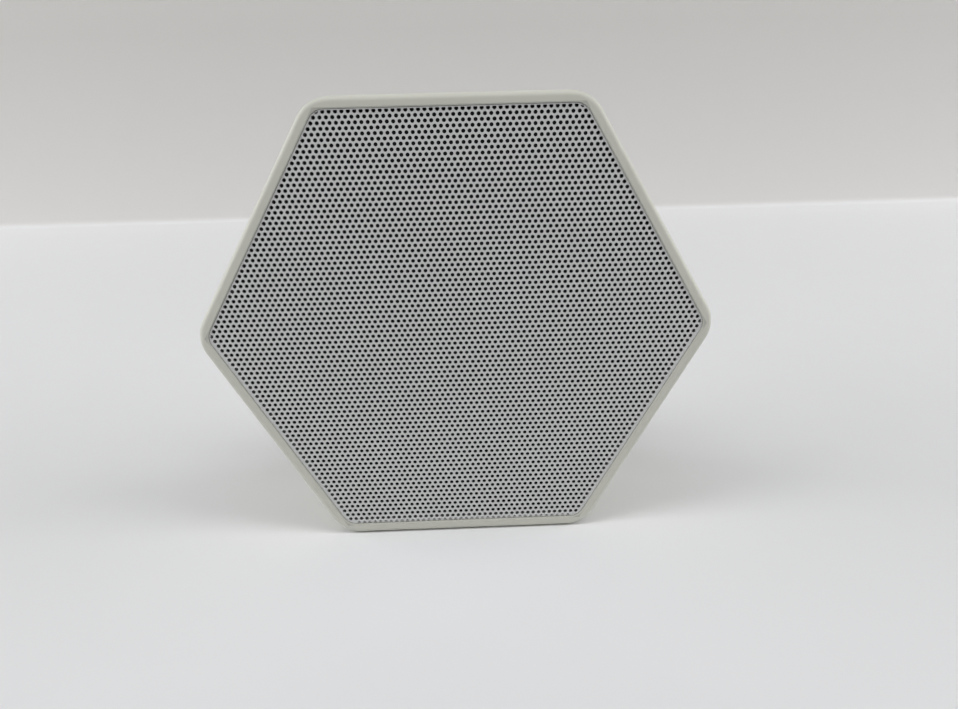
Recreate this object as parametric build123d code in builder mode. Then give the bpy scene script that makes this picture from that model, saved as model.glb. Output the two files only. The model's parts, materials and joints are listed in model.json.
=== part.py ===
from build123d import *
import os
from math import cos, pi, radians, sqrt, tan

# A hexagonal table-top smart speaker: a perforated steel grille in a drafted plastic shell,
# one full-range driver, a main board behind it and three push buttons on top.
# Millimetres. +Z is up and the grille faces -Y. The origin is on the table, under the middle of the body.
# Depths run backwards from the front rim, and heights run up from the driver's axis.

os.makedirs("parts", exist_ok=True)

# Driving dimensions of the shell
across_flats = 116.5
body_depth = 50
draft_angle = 4
corner_radius = 9
rim_width = 2.75
well_corner = 4
rim_land = 4
rim_round = 1.3
rim_inner_bevel = 0.3
rear_round = 4
foot_lift = 0.2
chamber_apothem = 52.4
chamber_corner = 3.5

# Depths of the joints between the large pieces
grille_front = 0.4
sheet_thickness = 0.8
cloth_thickness = 0.3
baffle_front = 10
baffle_thickness = 3
baffle_seal_thickness = 0.8
housing_end = 40.5
rear_seal_thickness = 0.5
rear_wall = 3
board_front = 35.4
board_thickness = 1.6

# Clearances and the three screw sizes, as radii
fit_gap = 0.3
close_gap = 0.25
slip_gap = 0.2
pilot_gap = 0.05
case_screw_shank, case_screw_head, case_screw_head_height = 1.4, 2.7, 2
board_screw_shank, board_screw_head, board_screw_head_height = 1.1, 2.1, 1.6
key_screw_shank, key_screw_head, key_screw_head_height = 0.9, 1.8, 1.3

# Derived positions of the shell
half_flats = across_flats / 2
front = -body_depth / 2
centre = foot_lift + half_flats
cloth_front = grille_front + sheet_thickness
cloth_back = cloth_front + cloth_thickness
baffle_back = baffle_front + baffle_thickness
seat_depth = baffle_back + baffle_seal_thickness
cover_start = housing_end + rear_seal_thickness
cover_floor = body_depth - rear_wall
board_back = board_front + board_thickness
well_apothem = half_flats - rim_width


# How far the draft has drawn the shell in, all round, at a depth behind the rim's land
def drawn_in(depth):
    return (depth - rim_land) * tan(radians(draft_angle))


# Plane across the speaker at a depth: local x to the right, local y up, extrusions run forwards
def across(depth):
    return Plane((0, front + depth, centre), x_dir=(1, 0, 0), z_dir=(0, -1, 0))


# Level plane at a height above the driver's axis: local x to the right, local y is the depth
def level(height):
    return Plane((0, front, centre + height))


# Rounded hexagon with a flat top, lying across the speaker at a depth
def hexagon(depth, apothem, corner):
    with BuildSketch(across(depth)) as outline:
        RegularPolygon(apothem, side_count=6, major_radius=False)
        fillet(outline.vertices(), corner)
    return outline.sketch


# Half section through the driver: local x is the radius, local y is the depth
half_section = Plane((0, front, centre), x_dir=(1, 0, 0), z_dir=(0, 0, 1))
driver_axis = Axis((0, front, centre), (0, 1, 0))

pieces = {}

# Six screw columns stand in the corners.
# The baffle screws enter them from the front, the cover screws from behind.
corner_count = 6
screw_circle = 54
column_radius = 3.6
column_end = 37.2
column_web = 1.6
column_web_end = 61
case_pilot = case_screw_shank + pilot_gap
case_clearance = case_screw_shank + fit_gap

# Control strip in the top wall, level although the wall is drafted
strip_height = 55.4
strip_length, strip_width, strip_corner = 52, 21, 6
strip_round = 0.5
strip_depth = 25
controls_depth = 26
button_pitch = 14.5
button_radius = 5
button_hole = button_radius + close_gap
button_names = {"volume_down": -button_pitch, "mute": 0, "volume_up": button_pitch}
button_places = [(x, controls_depth) for x in button_names.values()]
microphone_spread, microphone_setback = 40, 7.5
microphone_depth = controls_depth - microphone_setback
microphone_places = [(x, microphone_depth) for x in (-microphone_spread / 2, microphone_spread / 2)]
microphone_hole = 0.6
light_setback = 8
light_place = (0, controls_depth - light_setback)
light_radius = 1.2
key_boss_setback = 8.5
key_boss_places = [(x, controls_depth + key_boss_setback) for x in (-button_pitch / 2, button_pitch / 2)]
key_boss_radius = 2.4
key_board_top = 46.8
key_board_thickness = 1.2

# Rubber foot under the body
foot_length, foot_width, foot_corner = 52, 24, 7
foot_depth = 26.5
foot_seat = 55
foot_chamfer = 0.4

with BuildPart() as front_housing:
    land_outline = hexagon(rim_land, half_flats, corner_radius)
    extrude(land_outline, amount=rim_land)
    extrude(land_outline, amount=rim_land - housing_end, taper=draft_angle)
    fillet(front_housing.faces().sort_by(Axis.Y)[0].edges(), rim_round)
    # Front well for the grille and baffle, then the narrower chamber behind the baffle's seat
    extrude(hexagon(seat_depth, well_apothem, well_corner), amount=seat_depth, mode=Mode.SUBTRACT)
    chamfer(front_housing.faces().sort_by(Axis.Y)[0].inner_wires()[0].edges(), rim_inner_bevel)
    chamber = hexagon(housing_end, chamber_apothem, chamber_corner)
    extrude(chamber, amount=housing_end - seat_depth, mode=Mode.SUBTRACT)
    # Corner columns, each tied to its corner by a web
    with BuildSketch(across(column_end)):
        with PolarLocations((screw_circle + column_web_end) / 2, corner_count):
            Rectangle(column_web_end - screw_circle, column_web)
    extrude(amount=column_end - seat_depth)
    with BuildSketch(across(column_end)):
        with PolarLocations(screw_circle, corner_count):
            Circle(column_radius)
    extrude(amount=column_end - baffle_back)
    with BuildSketch(across(column_end)):
        with PolarLocations(screw_circle, corner_count):
            Circle(case_pilot)
    extrude(amount=column_end - baffle_back, mode=Mode.SUBTRACT)
    # Level control strip sunk in the top wall, and the bosses under it
    with BuildSketch(level(strip_height)):
        with Locations((0, strip_depth)):
            RectangleRounded(strip_length, strip_width, strip_corner)
    extrude(amount=rim_width, mode=Mode.SUBTRACT)
    top_wall = front_housing.faces().filter_by(lambda face: face.normal_at().Z > 0.9 and face.inner_wires())
    fillet(top_wall.sort_by(Axis.Z)[-1].inner_wires()[0].edges(), strip_round)
    with BuildSketch(level(chamber_apothem)):
        with Locations(*button_places):
            Circle(button_hole)
        with Locations(*microphone_places):
            Circle(microphone_hole)
        with Locations(light_place):
            Circle(light_radius + pilot_gap)
    extrude(amount=strip_height - chamber_apothem, mode=Mode.SUBTRACT)
    with BuildSketch(level(key_board_top)):
        with Locations(*key_boss_places):
            Circle(key_boss_radius)
            Circle(key_screw_shank + pilot_gap, mode=Mode.SUBTRACT)
    extrude(amount=chamber_apothem - key_board_top)
    # Pocket for the rubber foot
    with BuildSketch(level(-foot_seat)):
        with Locations((0, foot_depth)):
            RectangleRounded(foot_length, foot_width, foot_corner)
    extrude(amount=-rim_width - foot_lift, mode=Mode.SUBTRACT)
pieces["front_housing"] = front_housing

with BuildPart() as rubber_foot:
    with BuildSketch(level(-foot_seat)):
        with Locations((0, foot_depth)):
            RectangleRounded(foot_length - 2 * slip_gap, foot_width - 2 * slip_gap, foot_corner - slip_gap)
    extrude(amount=foot_seat - centre)
    chamfer(rubber_foot.faces().sort_by(Axis.Z)[0].edges(), foot_chamfer)
pieces["rubber_foot"] = rubber_foot

# Rear cover: a shallow dish with a locating lip, six screw wells, four board posts and the power inlet
lip_apothem = chamber_apothem - fit_gap
lip_thickness = 1.8
lip_start = column_end + fit_gap
cover_boss_radius = 4.6
screw_well_radius = case_screw_head + fit_gap
screw_seat = 42
post_radius = 3
post_spacing = (70, 52)
jack_height = -24
jack_nose_radius = 4
jack_dish_radius = 9
jack_dish_depth = 1.5

with BuildPart() as rear_cover:
    cover_draw = drawn_in(cover_start)
    cover_outline = hexagon(cover_start, half_flats - cover_draw, corner_radius - cover_draw)
    extrude(cover_outline, amount=cover_start - body_depth, taper=draft_angle)
    fillet(rear_cover.faces().sort_by(Axis.Y)[-1].edges(), rear_round)
    extrude(hexagon(cover_start, lip_apothem, chamber_corner), amount=cover_start - lip_start)
    dish = hexagon(cover_floor, lip_apothem - lip_thickness, chamber_corner - lip_thickness)
    extrude(dish, amount=cover_floor - lip_start, mode=Mode.SUBTRACT)
    with BuildSketch(across(cover_floor)):
        with PolarLocations(screw_circle, corner_count):
            Circle(cover_boss_radius)
    extrude(amount=cover_floor - column_end)
    with BuildSketch(across(body_depth)):
        with PolarLocations(screw_circle, corner_count):
            Circle(screw_well_radius)
    extrude(amount=body_depth - screw_seat, mode=Mode.SUBTRACT)
    with BuildSketch(across(screw_seat)):
        with PolarLocations(screw_circle, corner_count):
            Circle(case_clearance)
    extrude(amount=screw_seat - column_end, mode=Mode.SUBTRACT)
    with BuildSketch(across(cover_floor)):
        with GridLocations(*post_spacing, 2, 2):
            Circle(post_radius)
            Circle(board_screw_shank + pilot_gap, mode=Mode.SUBTRACT)
    extrude(amount=cover_floor - board_back)
    with BuildSketch(across(body_depth)):
        with Locations((0, jack_height)):
            Circle(jack_dish_radius)
    extrude(amount=jack_dish_depth, mode=Mode.SUBTRACT)
    with BuildSketch(across(body_depth)):
        with Locations((0, jack_height)):
            Circle(jack_nose_radius + slip_gap)
    extrude(amount=rear_wall, mode=Mode.SUBTRACT)
pieces["rear_cover"] = rear_cover

# Foam seal between the housing's rear end and the cover, set back so that a shadow gap shows outside
rear_seal_width = 2.2
with BuildPart() as rear_gasket:
    seal = hexagon(cover_start, chamber_apothem + rear_seal_width, chamber_corner + rear_seal_width)
    extrude(seal, amount=rear_seal_thickness)
    hollow = hexagon(cover_start, chamber_apothem + slip_gap, chamber_corner)
    extrude(hollow, amount=rear_seal_thickness, mode=Mode.SUBTRACT)
pieces["rear_gasket"] = rear_gasket

cover_screw_length = 12
with BuildPart() as cover_screws:
    with BuildSketch(across(screw_seat + case_screw_head_height)):
        with PolarLocations(screw_circle, corner_count):
            Circle(case_screw_head)
    extrude(amount=case_screw_head_height)
    with BuildSketch(across(screw_seat)):
        with PolarLocations(screw_circle, corner_count):
            Circle(case_screw_shank)
    extrude(amount=cover_screw_length)
pieces["cover_screws"] = cover_screws

# Pressed steel grille: a flat perforated sheet with a skirt folded back round its edge.
# The real sheet has 1 mm holes in rows staggered at 60 degrees. The openings here keep that stagger and
# the open share, as hexagons of the round hole's area, at six times the pitch.
grille_apothem = well_apothem - close_gap
grille_corner = well_corner - close_gap
skirt_end = 5
skirt_bend = 0.6
sheet_pitch, hole_diameter = 1.5, 1
pitch_scale = 6
opening_pitch = pitch_scale * sheet_pitch
opening_row = opening_pitch * cos(radians(30))
opening_width = pitch_scale * hole_diameter * sqrt(pi / (2 * sqrt(3)))
opening_land = 1
opening_rings = int((grille_apothem - opening_land - opening_width / 2) / opening_row)
opening_places = []
for row in range(-opening_rings, opening_rings + 1):
    row_count = 2 * opening_rings + 1 - abs(row)
    for column in range(row_count):
        opening_places.append(((column - (row_count - 1) / 2) * opening_pitch, row * opening_row))

with BuildPart() as grille:
    extrude(hexagon(skirt_end, grille_apothem, grille_corner), amount=skirt_end - grille_front)
    fillet(grille.faces().sort_by(Axis.Y)[0].edges(), skirt_bend)
    inside = hexagon(skirt_end, grille_apothem - sheet_thickness, grille_corner - sheet_thickness)
    extrude(inside, amount=skirt_end - cloth_front, mode=Mode.SUBTRACT)
    with BuildSketch(across(cloth_front)):
        with Locations(*opening_places):
            RegularPolygon(opening_width / 2, side_count=6, major_radius=False, rotation=30)
    extrude(amount=sheet_thickness, mode=Mode.SUBTRACT)
pieces["grille"] = grille

# Black scrim behind the sheet, pinched between it and the baffle's rib
rib_apothem = grille_apothem - sheet_thickness - slip_gap
rib_corner = grille_corner - sheet_thickness - slip_gap
rib_thickness = 1.5
with BuildPart() as grille_cloth:
    extrude(hexagon(cloth_back, rib_apothem, rib_corner), amount=cloth_thickness)
pieces["grille_cloth"] = grille_cloth

# Loudspeaker driver, radii about its axis
flange_radius = 41
flange_thickness = 1.2
driver_seal_thickness = 0.8
driver_screw_circle = 38
driver_screw_count = 4
driver_screw_angle = 45
flange_back = baffle_front - driver_seal_thickness
flange_front = flange_back - flange_thickness
driver_opening = 34.8
driver_boss_radius = 3.2
driver_boss_length = 4
stiffener_count = 6
stiffener_reach = 44

# Baffle: the plate that carries the driver, with an upstand that the grille's skirt slips over
with BuildPart() as baffle:
    plate_apothem = well_apothem - fit_gap
    extrude(hexagon(baffle_back, plate_apothem, well_corner - fit_gap), amount=baffle_thickness)
    extrude(hexagon(baffle_front, rib_apothem, rib_corner), amount=baffle_front - cloth_back)
    rib_inside = hexagon(baffle_front, rib_apothem - rib_thickness, rib_corner - rib_thickness)
    extrude(rib_inside, amount=baffle_front - cloth_back, mode=Mode.SUBTRACT)
    # Stiffening ribs and driver screw bosses on the back
    with BuildSketch(across(baffle_back)):
        with PolarLocations((driver_opening + stiffener_reach) / 2, stiffener_count, start_angle=30):
            Rectangle(stiffener_reach - driver_opening, rib_thickness)
        with PolarLocations(driver_screw_circle, driver_screw_count, start_angle=driver_screw_angle):
            Circle(driver_boss_radius)
    extrude(amount=-driver_boss_length)
    with BuildSketch(across(baffle_back + driver_boss_length)):
        Circle(driver_opening)
    extrude(amount=driver_boss_length + baffle_thickness, mode=Mode.SUBTRACT)
    with BuildSketch(across(baffle_back + driver_boss_length)):
        with PolarLocations(driver_screw_circle, driver_screw_count, start_angle=driver_screw_angle):
            Circle(case_pilot)
    extrude(amount=driver_boss_length + baffle_thickness, mode=Mode.SUBTRACT)
    with BuildSketch(across(baffle_back)):
        with PolarLocations(screw_circle, corner_count):
            Circle(case_clearance)
    extrude(amount=baffle_thickness, mode=Mode.SUBTRACT)
pieces["baffle"] = baffle

baffle_seal_width = 2
with BuildPart() as baffle_gasket:
    extrude(hexagon(seat_depth, plate_apothem, well_corner - fit_gap), amount=baffle_seal_thickness)
    hollow = hexagon(seat_depth, plate_apothem - baffle_seal_width, well_corner - fit_gap - baffle_seal_width)
    extrude(hollow, amount=baffle_seal_thickness, mode=Mode.SUBTRACT)
pieces["baffle_gasket"] = baffle_gasket

baffle_screw_length = 10
with BuildPart() as baffle_screws:
    with BuildSketch(across(baffle_front)):
        with PolarLocations(screw_circle, corner_count):
            Circle(case_screw_head)
    extrude(amount=case_screw_head_height)
    with BuildSketch(across(baffle_front + baffle_screw_length)):
        with PolarLocations(screw_circle, corner_count):
            Circle(case_screw_shank)
    extrude(amount=baffle_screw_length)
pieces["baffle_screws"] = baffle_screws

# Pressed steel basket: flange, conical wall with windows, a ledge for the spider and a floor for the magnet
frame_inner = 33
ledge_depth = 19
ledge_inner, ledge_outer = 21.5, 26.4
floor_inner = 14.2
plate_front = 22.6
flange_lip = 0.6
wall_shoulder = 1.4
ledge_shoulder = 0.8
window_count = 6
window_start, window_end = 10.4, 18.6
spoke_middle, spoke_length, spoke_width = 30, 12, 8
with BuildPart() as driver_basket:
    with BuildSketch(half_section):
        with BuildLine():
            Polyline(
                (flange_radius, flange_front),
                (flange_radius, flange_back),
                (frame_inner + wall_shoulder, flange_back),
                (ledge_outer, ledge_depth + flange_thickness),
                (ledge_inner + flange_thickness, ledge_depth + flange_thickness),
                (ledge_inner + flange_thickness, plate_front),
                (floor_inner, plate_front),
                (floor_inner, plate_front - flange_thickness),
                (ledge_inner, plate_front - flange_thickness),
                (ledge_inner, ledge_depth),
                (ledge_outer - ledge_shoulder, ledge_depth),
                (frame_inner, flange_front + flange_lip),
                (frame_inner, flange_front),
                close=True,
            )
        make_face()
    revolve(axis=driver_axis)
    with BuildSketch(across(window_end)):
        Circle(frame_inner + slip_gap)
        Circle(ledge_outer, mode=Mode.SUBTRACT)
        with PolarLocations(spoke_middle, window_count, start_angle=30):
            Rectangle(spoke_length, spoke_width, mode=Mode.SUBTRACT)
    extrude(amount=window_end - window_start, mode=Mode.SUBTRACT)
    with BuildSketch(across(flange_back)):
        with PolarLocations(driver_screw_circle, driver_screw_count, start_angle=driver_screw_angle):
            Circle(case_clearance)
    extrude(amount=flange_thickness, mode=Mode.SUBTRACT)
pieces["driver_basket"] = driver_basket

driver_seal_setback = 0.4
with BuildPart() as driver_gasket:
    with BuildSketch(across(baffle_front)):
        Circle(flange_radius)
        Circle(driver_opening + driver_seal_setback, mode=Mode.SUBTRACT)
        with PolarLocations(driver_screw_circle, driver_screw_count, start_angle=driver_screw_angle):
            Circle(case_clearance, mode=Mode.SUBTRACT)
    extrude(amount=driver_seal_thickness)
pieces["driver_gasket"] = driver_gasket

driver_screw_length = 8.5
with BuildPart() as driver_screws:
    with BuildSketch(across(flange_front)):
        with PolarLocations(driver_screw_circle, driver_screw_count, start_angle=driver_screw_angle):
            Circle(case_screw_head)
    extrude(amount=case_screw_head_height)
    with BuildSketch(across(flange_front + driver_screw_length)):
        with PolarLocations(driver_screw_circle, driver_screw_count, start_angle=driver_screw_angle):
            Circle(case_screw_shank)
    extrude(amount=driver_screw_length)
pieces["driver_screws"] = driver_screws

# Half-roll rubber surround, glued to the flange outside and to the cone's lip inside
surround_thickness = 0.5
roll_middle, roll_radius = 30.5, 2.6
roll_inside = roll_radius - surround_thickness
surround_outer, surround_inner = 35.2, 25.7
surround_front = flange_front - surround_thickness
with BuildPart() as surround:
    with BuildSketch(half_section):
        with BuildLine():
            Line((surround_outer, surround_front), (roll_middle + roll_radius, surround_front))
            ThreePointArc(
                (roll_middle + roll_radius, surround_front),
                (roll_middle, surround_front - roll_radius),
                (roll_middle - roll_radius, surround_front),
            )
            Polyline(
                (roll_middle - roll_radius, surround_front),
                (surround_inner, surround_front),
                (surround_inner, flange_front),
                (roll_middle - roll_inside, flange_front),
                (roll_middle - roll_inside, surround_front),
            )
            ThreePointArc(
                (roll_middle - roll_inside, surround_front),
                (roll_middle, surround_front - roll_inside),
                (roll_middle + roll_inside, surround_front),
            )
            Polyline(
                (roll_middle + roll_inside, surround_front),
                (roll_middle + roll_inside, flange_front),
                (surround_outer, flange_front),
                (surround_outer, surround_front),
            )
        make_face()
    revolve(axis=driver_axis)
pieces["surround"] = surround

# Moving parts of the driver: paper cone, dust cap, coil former and winding
paper = 0.5
lip_outer, lip_inner = 27.8, 25.6
neck_radius, neck_depth, neck_paper = 12.75, 17.1, 0.7
with BuildPart() as cone:
    with BuildSketch(half_section):
        with BuildLine():
            Polyline(
                (lip_outer, flange_front),
                (lip_outer, flange_front + paper),
                (lip_inner + paper, flange_front + paper),
                (neck_radius, neck_depth + neck_paper),
                (neck_radius, neck_depth),
                (lip_inner, flange_front),
                close=True,
            )
        make_face()
    revolve(axis=driver_axis)
pieces["cone"] = cone

cap_radius, cap_edge, cap_height = 14, 16, 4
cap_sphere = (cap_radius**2 + cap_height**2) / (2 * cap_height)
with BuildPart() as dust_cap:
    with Locations((0, front + cap_edge - cap_height + cap_sphere, centre)):
        Sphere(cap_sphere)
        Sphere(cap_sphere - paper, mode=Mode.SUBTRACT)
    split(bisect_by=across(cap_edge), keep=Keep.TOP)
pieces["dust_cap"] = dust_cap

coil_radius = 12.5
former_thickness = 0.15
former_start, former_end = 16.4, 27.5
with BuildPart() as coil_former:
    with BuildSketch(across(former_end)):
        Circle(coil_radius + former_thickness)
        Circle(coil_radius, mode=Mode.SUBTRACT)
    extrude(amount=former_end - former_start)
pieces["coil_former"] = coil_former

winding_start, winding_end = 21.5, 27
winding_inner = coil_radius + former_thickness + pilot_gap
winding_thickness = 0.5
with BuildPart() as coil_winding:
    with BuildSketch(across(winding_end)):
        Circle(winding_inner + winding_thickness)
        Circle(winding_inner, mode=Mode.SUBTRACT)
    extrude(amount=winding_end - winding_start)
pieces["coil_winding"] = coil_winding

# Corrugated spider between the former and the basket's ledge
spider_thickness = 0.4
spider_inner, spider_outer = neck_radius, 24.5
spider_rim = 21.2
wave_count = 4
wave_height = 0.6
wave_length = (spider_rim - spider_inner) / wave_count
spider_front = ledge_depth - spider_thickness
with BuildPart() as spider:
    with BuildSketch(half_section):
        with BuildLine():
            for side in (spider_front, ledge_depth):
                folds = []
                for wave in range(wave_count):
                    swing = wave_height if wave % 2 else -wave_height
                    folds.append((spider_inner + (wave + 0.5) * wave_length, side + swing))
                Polyline((spider_inner, side), *folds, (spider_rim, side), (spider_outer, side))
            Line((spider_inner, spider_front), (spider_inner, ledge_depth))
            Line((spider_outer, spider_front), (spider_outer, ledge_depth))
        make_face()
    revolve(axis=driver_axis)
pieces["spider"] = spider

# Magnet system: steel top plate, ferrite ring, and yoke with a vented pole
gap_width = 0.4
top_plate_radius, magnet_radius, yoke_radius = 21, 23, 21.5
magnet_bore, magnet_chamfer, pole_vent = 15, 0.6, 4
top_plate_thickness, magnet_thickness, yoke_thickness = 3, 5, 2.8
magnet_front = plate_front + top_plate_thickness
yoke_front = magnet_front + magnet_thickness
yoke_back = yoke_front + yoke_thickness
with BuildPart() as top_plate:
    with BuildSketch(across(magnet_front)):
        Circle(top_plate_radius)
        Circle(winding_inner + winding_thickness + gap_width, mode=Mode.SUBTRACT)
    extrude(amount=top_plate_thickness)
pieces["top_plate"] = top_plate

with BuildPart() as magnet:
    with BuildSketch(across(yoke_front)):
        Circle(magnet_radius)
        Circle(magnet_bore, mode=Mode.SUBTRACT)
    extrude(amount=magnet_thickness)
    chamfer(magnet.edges().filter_by(GeomType.CIRCLE).group_by(SortBy.RADIUS)[-1], magnet_chamfer)
pieces["magnet"] = magnet

with BuildPart() as yoke:
    with BuildSketch(across(yoke_back)):
        Circle(yoke_radius)
    extrude(amount=yoke_thickness)
    with BuildSketch(across(yoke_front)):
        Circle(coil_radius - gap_width)
    extrude(amount=yoke_front - plate_front)
    with BuildSketch(across(yoke_back)):
        Circle(pole_vent)
    extrude(amount=yoke_back - plate_front, mode=Mode.SUBTRACT)
pieces["yoke"] = yoke

# Tag board on the back of the basket's ledge, its two solder tags, and the lead to the main board
tag_board_depth = ledge_depth + flange_thickness
tag_board_thickness = 1
tag_places = [(3.5, -26.5), (-3.5, -28.3)]
tag_board_height, tag_board_length, tag_board_width, tag_board_corner = -28, 14, 9, 1.5
tag_length, tag_width, tag_thickness = 4, 2.8, 0.5
with BuildPart() as terminal_board:
    with BuildSketch(across(tag_board_depth + tag_board_thickness)):
        with Locations((0, tag_board_height)):
            RectangleRounded(tag_board_length, tag_board_width, tag_board_corner)
    extrude(amount=tag_board_thickness)
pieces["terminal_board"] = terminal_board

tag_end = tag_board_depth + tag_board_thickness + tag_length
with BuildPart() as driver_tags:
    with BuildSketch(across(tag_end)):
        with Locations(*tag_places):
            Rectangle(tag_width, tag_thickness)
    extrude(amount=tag_length)
pieces["driver_tags"] = driver_tags

wire_radius = 0.6
plug_start = 19
wire_run_depth = 33.2
wire_bend = 3.6
with BuildPart() as speaker_lead:
    for tag_x, tag_height in tag_places:
        with BuildLine(level(tag_height)) as route:
            corner = (tag_x, wire_run_depth)
            FilletPolyline((tag_x, tag_end), corner, (plug_start, wire_run_depth), radius=wire_bend)
        with BuildSketch(Plane(route.line @ 0, z_dir=route.line % 0)):
            Circle(wire_radius)
        sweep(path=route.line)
pieces["speaker_lead"] = speaker_lead

plug_length, plug_width, plug_height, plug_round = 7, 6.6, 4.4, 0.6
plug_level = sum(height for x, height in tag_places) / len(tag_places)
with BuildPart() as speaker_plug:
    with BuildSketch(across(board_front)):
        with Locations((plug_start + plug_length / 2, plug_level)):
            Rectangle(plug_length, plug_width)
    extrude(amount=plug_height)
    fillet(speaker_plug.edges().filter_by(Axis.Y), plug_round)
pieces["speaker_plug"] = speaker_plug

# Main board on the rear cover's posts, with what stands on it
board_width, board_height, board_corner = 80, 62, 4
with BuildPart() as main_board:
    with BuildSketch(across(board_back)):
        RectangleRounded(board_width, board_height, board_corner)
        with GridLocations(*post_spacing, 2, 2):
            Circle(board_screw_shank + slip_gap, mode=Mode.SUBTRACT)
    extrude(amount=board_thickness)
pieces["main_board"] = main_board

board_screw_length = 7
with BuildPart() as board_screws:
    with BuildSketch(across(board_front)):
        with GridLocations(*post_spacing, 2, 2):
            Circle(board_screw_head)
    extrude(amount=board_screw_head_height)
    with BuildSketch(across(board_front + board_screw_length)):
        with GridLocations(*post_spacing, 2, 2):
            Circle(board_screw_shank)
    extrude(amount=board_screw_length)
pieces["board_screws"] = board_screws

shield_place, shield_size = (-31, -9), (15.5, 22)
can_height, can_corner, can_chamfer = 2.4, 0.8, 0.4
with BuildPart() as processor_shield:
    with BuildSketch(across(board_front)):
        with Locations(shield_place):
            RectangleRounded(*shield_size, can_corner)
    extrude(amount=can_height)
    chamfer(processor_shield.faces().sort_by(Axis.Y)[0].edges(), can_chamfer)
pieces["processor_shield"] = processor_shield

radio_place, radio_size, radio_board = (31.5, -8), (14, 18), 0.8
radio_can_place, radio_can_size, radio_can_height = (31.5, -10), (12.4, 12), 1.6
with BuildPart() as radio_module:
    with BuildSketch(across(board_front)):
        with Locations(radio_place):
            Rectangle(*radio_size)
    extrude(amount=radio_board)
    with BuildSketch(across(board_front - radio_board)):
        with Locations(radio_can_place):
            RectangleRounded(*radio_can_size, can_corner)
    extrude(amount=radio_can_height)
pieces["radio_module"] = radio_module

sink_place, sink_side, sink_base = (-31, 14), 14, 2
fin_count, fin_thickness, fin_height = 5, 1.2, 6
fin_pitch = (sink_side - fin_thickness) / (fin_count - 1)
with BuildPart() as amplifier_heatsink:
    with BuildSketch(across(board_front)):
        with Locations(sink_place):
            Rectangle(sink_side, sink_side)
    extrude(amount=sink_base)
    with BuildSketch(across(board_front - sink_base)):
        with Locations(sink_place):
            with GridLocations(fin_pitch, 0, fin_count, 1):
                Rectangle(fin_thickness, sink_side)
    extrude(amount=fin_height)
pieces["amplifier_heatsink"] = amplifier_heatsink

capacitor_places = [(29, 6), (29, 15.5)]
capacitor_radius, capacitor_height, capacitor_bevel = 4, 10, 0.5
with BuildPart() as capacitors:
    with BuildSketch(across(board_front)):
        with Locations(*capacitor_places):
            Circle(capacitor_radius)
    extrude(amount=capacitor_height)
    chamfer(capacitors.faces().filter_by(Plane.XZ).group_by(Axis.Y)[0].edges(), capacitor_bevel)
pieces["capacitors"] = capacitors

inductor_places = [(-14, 26.5), (14, 26.5)]
inductor_side, inductor_corner, inductor_height = 6, 1.2, 3
with BuildPart() as inductors:
    with BuildSketch(across(board_front)):
        with Locations(*inductor_places):
            RectangleRounded(inductor_side, inductor_side, inductor_corner)
    extrude(amount=inductor_height)
pieces["inductors"] = inductors

# Power inlet: a barrel jack standing on the back of the main board, its nose flush with the dish in the cover
jack_face = body_depth - jack_dish_depth
jack_width, jack_corner = 10, 1
jack_body_end = cover_floor - slip_gap
barrel_radius = 3.15
barrel_depth = 9.5
jack_pin_radius, jack_pin_round, jack_pin_setback = 1, 0.4, 1
with BuildPart() as power_jack:
    with BuildSketch(across(jack_body_end)):
        with Locations((0, jack_height)):
            RectangleRounded(jack_width, jack_width, jack_corner)
    extrude(amount=jack_body_end - board_back)
    with BuildSketch(across(jack_face)):
        with Locations((0, jack_height)):
            Circle(jack_nose_radius)
    extrude(amount=jack_face - jack_body_end)
    with BuildSketch(across(jack_face)):
        with Locations((0, jack_height)):
            Circle(barrel_radius)
    extrude(amount=barrel_depth, mode=Mode.SUBTRACT)
pieces["power_jack"] = power_jack

with BuildPart() as jack_pin:
    with BuildSketch(across(jack_face - jack_pin_setback)):
        with Locations((0, jack_height)):
            Circle(jack_pin_radius)
    extrude(amount=barrel_depth - jack_pin_setback)
    fillet(jack_pin.faces().sort_by(Axis.Y)[-1].edges(), jack_pin_round)
pieces["jack_pin"] = jack_pin

# Key board under the control strip, with its switches, microphones and status light
key_board_length, key_board_width, key_board_corner = 45, 22, 2
with BuildPart() as key_board:
    with BuildSketch(level(key_board_top - key_board_thickness)):
        with Locations((0, controls_depth)):
            RectangleRounded(key_board_length, key_board_width, key_board_corner)
        with Locations(*key_boss_places):
            Circle(key_screw_shank + slip_gap, mode=Mode.SUBTRACT)
    extrude(amount=key_board_thickness)
pieces["key_board"] = key_board

key_screw_length = 5
with BuildPart() as key_board_screws:
    with BuildSketch(level(key_board_top - key_board_thickness - key_screw_head_height)):
        with Locations(*key_boss_places):
            Circle(key_screw_head)
    extrude(amount=key_screw_head_height)
    with BuildSketch(level(key_board_top - key_board_thickness)):
        with Locations(*key_boss_places):
            Circle(key_screw_shank)
    extrude(amount=key_screw_length)
pieces["key_board_screws"] = key_board_screws

switch_width, switch_corner, switch_height = 6, 0.5, 3.4
switch_top = key_board_top + switch_height
plunger_radius = 1.6
plunger_rise, plunger_sunk, switch_well = 0.7, 0.8, 1.5
with BuildPart() as switch_bodies:
    with BuildSketch(level(key_board_top)):
        with Locations(*button_places):
            RectangleRounded(switch_width, switch_width, switch_corner)
    extrude(amount=switch_height)
    with BuildSketch(level(switch_top)):
        with Locations(*button_places):
            Circle(plunger_radius + fit_gap)
    extrude(amount=-switch_well, mode=Mode.SUBTRACT)
pieces["switch_bodies"] = switch_bodies

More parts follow.
